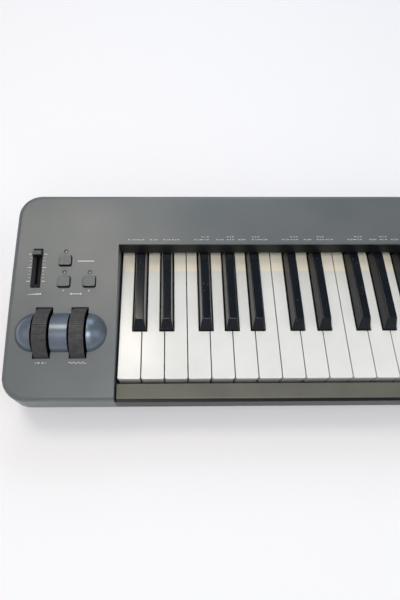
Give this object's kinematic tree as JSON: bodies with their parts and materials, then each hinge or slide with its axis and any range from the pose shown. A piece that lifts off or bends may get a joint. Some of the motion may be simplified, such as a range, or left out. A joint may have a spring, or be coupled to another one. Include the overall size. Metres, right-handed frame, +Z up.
{
  "type": "midi keyboard",
  "caption": "Slim keyboard controller with a sloping panel, piano-style keys, two wheels under a capsule cowl, a slider and small buttons.",
  "frame": {"origin": "on the resting surface under the middle of the case", "axes": "+X along the keys towards the treble, +Y from the player towards the back, +Z up"},
  "size_m": [0.978, 0.221, 0.0875],
  "materials": {
    "case_paint": "mid-grey satin paint",
    "slip_paint": "mid-grey satin paint",
    "base_plastic": "black moulded plastic",
    "key_white": "polished white key plastic",
    "key_black": "satin black key plastic",
    "cowl_satin": "blue-grey satin paint",
    "wheel_rubber": "ribbed charcoal rubbery plastic",
    "cap_plastic": "textured grey plastic",
    "dark_plastic": "black plastic",
    "lamp": "tinted lens",
    "rubber": "black rubber",
    "felt": "stop felt",
    "steel": "zinc-plated steel",
    "circuit": "circuit board",
    "contact_rubber": "silicone",
    "ribbon": "flat cable",
    "socket_metal": "plated shell"
  },
  "bodies": {
    "case": {"top_case": "case_paint", "bottom_case": "base_plastic", "key_slip": "slip_paint", "wheel_cowl": "cowl_satin", "rubber_feet": "rubber", "case_screws": "steel", "key_chassis": "steel", "pivot_rod": "steel", "key_springs": "steel", "contact_board": "circuit", "contact_pads": "contact_rubber", "key_stop_felts": "felt", "inner_screws": "steel", "wheel_bracket": "dark_plastic", "wheel_pots": "dark_plastic", "pitch_return_spring": "steel", "volume_fader": "dark_plastic", "indicator_leds": "lamp", "control_board": "circuit", "tact_switches": "dark_plastic", "main_board": "circuit", "usb_socket": "socket_metal", "midi_socket": "dark_plastic", "pedal_socket": "dark_plastic", "power_inlet": "dark_plastic", "power_switch": "dark_plastic", "ribbon_cables": "ribbon"},
    "key_c1": {"key_c1": "key_white"},
    "key_cs1": {"key_cs1": "key_black"},
    "key_d1": {"key_d1": "key_white"},
    "key_ds1": {"key_ds1": "key_black"},
    "key_e1": {"key_e1": "key_white"},
    "key_f1": {"key_f1": "key_white"},
    "key_fs1": {"key_fs1": "key_black"},
    "key_g1": {"key_g1": "key_white"},
    "key_gs1": {"key_gs1": "key_black"},
    "key_a1": {"key_a1": "key_white"},
    "key_as1": {"key_as1": "key_black"},
    "key_b1": {"key_b1": "key_white"},
    "key_c2": {"key_c2": "key_white"},
    "key_cs2": {"key_cs2": "key_black"},
    "key_d2": {"key_d2": "key_white"},
    "key_ds2": {"key_ds2": "key_black"},
    "key_e2": {"key_e2": "key_white"},
    "key_f2": {"key_f2": "key_white"},
    "key_fs2": {"key_fs2": "key_black"},
    "key_g2": {"key_g2": "key_white"},
    "key_gs2": {"key_gs2": "key_black"},
    "key_a2": {"key_a2": "key_white"},
    "key_as2": {"key_as2": "key_black"},
    "key_b2": {"key_b2": "key_white"},
    "upper_white_keys": {"upper_white_keys": "key_white"},
    "upper_black_keys": {"upper_black_keys": "key_black"},
    "pitch_wheel": {"pitch_wheel": "wheel_rubber"},
    "mod_wheel": {"mod_wheel": "wheel_rubber"},
    "volume_cap": {"volume_cap": "cap_plastic"},
    "function_button": {"function_button": "cap_plastic"},
    "octave_down_button": {"octave_down_button": "cap_plastic"},
    "octave_up_button": {"octave_up_button": "cap_plastic"},
    "power_rocker": {"power_rocker": "dark_plastic"}
  },
  "joints": [
    {"name": "key_c1_press", "type": "hinge", "parent": "case", "child": "key_c1", "pos_m": [0, 0.084, 0.049], "axis": [1, 0, 0], "range_deg": [0, 3.3], "stiffness_Nm_per_rad": 0.7, "springref_deg": -5.16},
    {"name": "key_cs1_press", "type": "hinge", "parent": "case", "child": "key_cs1", "pos_m": [0, 0.084, 0.049], "axis": [1, 0, 0], "range_deg": [0, 3.3], "stiffness_Nm_per_rad": 0.7, "springref_deg": -5.16},
    {"name": "key_d1_press", "type": "hinge", "parent": "case", "child": "key_d1", "pos_m": [0, 0.084, 0.049], "axis": [1, 0, 0], "range_deg": [0, 3.3], "stiffness_Nm_per_rad": 0.7, "springref_deg": -5.16},
    {"name": "key_ds1_press", "type": "hinge", "parent": "case", "child": "key_ds1", "pos_m": [0, 0.084, 0.049], "axis": [1, 0, 0], "range_deg": [0, 3.3], "stiffness_Nm_per_rad": 0.7, "springref_deg": -5.16},
    {"name": "key_e1_press", "type": "hinge", "parent": "case", "child": "key_e1", "pos_m": [0, 0.084, 0.049], "axis": [1, 0, 0], "range_deg": [0, 3.3], "stiffness_Nm_per_rad": 0.7, "springref_deg": -5.16},
    {"name": "key_f1_press", "type": "hinge", "parent": "case", "child": "key_f1", "pos_m": [0, 0.084, 0.049], "axis": [1, 0, 0], "range_deg": [0, 3.3], "stiffness_Nm_per_rad": 0.7, "springref_deg": -5.16},
    {"name": "key_fs1_press", "type": "hinge", "parent": "case", "child": "key_fs1", "pos_m": [0, 0.084, 0.049], "axis": [1, 0, 0], "range_deg": [0, 3.3], "stiffness_Nm_per_rad": 0.7, "springref_deg": -5.16},
    {"name": "key_g1_press", "type": "hinge", "parent": "case", "child": "key_g1", "pos_m": [0, 0.084, 0.049], "axis": [1, 0, 0], "range_deg": [0, 3.3], "stiffness_Nm_per_rad": 0.7, "springref_deg": -5.16},
    {"name": "key_gs1_press", "type": "hinge", "parent": "case", "child": "key_gs1", "pos_m": [0, 0.084, 0.049], "axis": [1, 0, 0], "range_deg": [0, 3.3], "stiffness_Nm_per_rad": 0.7, "springref_deg": -5.16},
    {"name": "key_a1_press", "type": "hinge", "parent": "case", "child": "key_a1", "pos_m": [0, 0.084, 0.049], "axis": [1, 0, 0], "range_deg": [0, 3.3], "stiffness_Nm_per_rad": 0.7, "springref_deg": -5.16},
    {"name": "key_as1_press", "type": "hinge", "parent": "case", "child": "key_as1", "pos_m": [0, 0.084, 0.049], "axis": [1, 0, 0], "range_deg": [0, 3.3], "stiffness_Nm_per_rad": 0.7, "springref_deg": -5.16},
    {"name": "key_b1_press", "type": "hinge", "parent": "case", "child": "key_b1", "pos_m": [0, 0.084, 0.049], "axis": [1, 0, 0], "range_deg": [0, 3.3], "stiffness_Nm_per_rad": 0.7, "springref_deg": -5.16},
    {"name": "key_c2_press", "type": "hinge", "parent": "case", "child": "key_c2", "pos_m": [0, 0.084, 0.049], "axis": [1, 0, 0], "range_deg": [0, 3.3], "stiffness_Nm_per_rad": 0.7, "springref_deg": -5.16},
    {"name": "key_cs2_press", "type": "hinge", "parent": "case", "child": "key_cs2", "pos_m": [0, 0.084, 0.049], "axis": [1, 0, 0], "range_deg": [0, 3.3], "stiffness_Nm_per_rad": 0.7, "springref_deg": -5.16},
    {"name": "key_d2_press", "type": "hinge", "parent": "case", "child": "key_d2", "pos_m": [0, 0.084, 0.049], "axis": [1, 0, 0], "range_deg": [0, 3.3], "stiffness_Nm_per_rad": 0.7, "springref_deg": -5.16},
    {"name": "key_ds2_press", "type": "hinge", "parent": "case", "child": "key_ds2", "pos_m": [0, 0.084, 0.049], "axis": [1, 0, 0], "range_deg": [0, 3.3], "stiffness_Nm_per_rad": 0.7, "springref_deg": -5.16},
    {"name": "key_e2_press", "type": "hinge", "parent": "case", "child": "key_e2", "pos_m": [0, 0.084, 0.049], "axis": [1, 0, 0], "range_deg": [0, 3.3], "stiffness_Nm_per_rad": 0.7, "springref_deg": -5.16},
    {"name": "key_f2_press", "type": "hinge", "parent": "case", "child": "key_f2", "pos_m": [0, 0.084, 0.049], "axis": [1, 0, 0], "range_deg": [0, 3.3], "stiffness_Nm_per_rad": 0.7, "springref_deg": -5.16},
    {"name": "key_fs2_press", "type": "hinge", "parent": "case", "child": "key_fs2", "pos_m": [0, 0.084, 0.049], "axis": [1, 0, 0], "range_deg": [0, 3.3], "stiffness_Nm_per_rad": 0.7, "springref_deg": -5.16},
    {"name": "key_g2_press", "type": "hinge", "parent": "case", "child": "key_g2", "pos_m": [0, 0.084, 0.049], "axis": [1, 0, 0], "range_deg": [0, 3.3], "stiffness_Nm_per_rad": 0.7, "springref_deg": -5.16},
    {"name": "key_gs2_press", "type": "hinge", "parent": "case", "child": "key_gs2", "pos_m": [0, 0.084, 0.049], "axis": [1, 0, 0], "range_deg": [0, 3.3], "stiffness_Nm_per_rad": 0.7, "springref_deg": -5.16},
    {"name": "key_a2_press", "type": "hinge", "parent": "case", "child": "key_a2", "pos_m": [0, 0.084, 0.049], "axis": [1, 0, 0], "range_deg": [0, 3.3], "stiffness_Nm_per_rad": 0.7, "springref_deg": -5.16},
    {"name": "key_as2_press", "type": "hinge", "parent": "case", "child": "key_as2", "pos_m": [0, 0.084, 0.049], "axis": [1, 0, 0], "range_deg": [0, 3.3], "stiffness_Nm_per_rad": 0.7, "springref_deg": -5.16},
    {"name": "key_b2_press", "type": "hinge", "parent": "case", "child": "key_b2", "pos_m": [0, 0.084, 0.049], "axis": [1, 0, 0], "range_deg": [0, 3.3], "stiffness_Nm_per_rad": 0.7, "springref_deg": -5.16},
    {"name": "upper_white_keys_press", "type": "hinge", "parent": "case", "child": "upper_white_keys", "pos_m": [0, 0.084, 0.049], "axis": [1, 0, 0], "range_deg": [0, 3.3], "stiffness_Nm_per_rad": 15.4, "springref_deg": -5.16},
    {"name": "upper_black_keys_press", "type": "hinge", "parent": "case", "child": "upper_black_keys", "pos_m": [0, 0.084, 0.049], "axis": [1, 0, 0], "range_deg": [0, 3.3], "stiffness_Nm_per_rad": 10.5, "springref_deg": -5.16},
    {"name": "pitch_bend", "type": "hinge", "parent": "case", "child": "pitch_wheel", "pos_m": [0, -0.04319, 0.05635], "axis": [-1, 0, 0], "range_deg": [-40, 40], "stiffness_Nm_per_rad": 0.06},
    {"name": "modulation", "type": "hinge", "parent": "case", "child": "mod_wheel", "pos_m": [0, -0.04319, 0.05635], "axis": [-1, 0, 0], "range_deg": [0, 80]},
    {"name": "volume_slide", "type": "slide", "parent": "case", "child": "volume_cap", "axis": [0, 0.9918, 0.1279], "range_m": [-0.03, 0]},
    {"name": "function_button_press", "type": "slide", "parent": "case", "child": "function_button", "axis": [0, 0.1239, -0.9923], "range_m": [0, 0.0008], "stiffness_N_per_m": 900, "springref_m": -0.0006},
    {"name": "octave_down_button_press", "type": "slide", "parent": "case", "child": "octave_down_button", "axis": [0, 0.1351, -0.9908], "range_m": [0, 0.0008], "stiffness_N_per_m": 900, "springref_m": -0.0006},
    {"name": "octave_up_button_press", "type": "slide", "parent": "case", "child": "octave_up_button", "axis": [0, 0.1351, -0.9908], "range_m": [0, 0.0008], "stiffness_N_per_m": 900, "springref_m": -0.0006},
    {"name": "power_tip", "type": "hinge", "parent": "case", "child": "power_rocker", "pos_m": [-0.459, 0.1067, 0.042], "axis": [1, 0, 0], "range_deg": [-12, 0]}
  ]
}
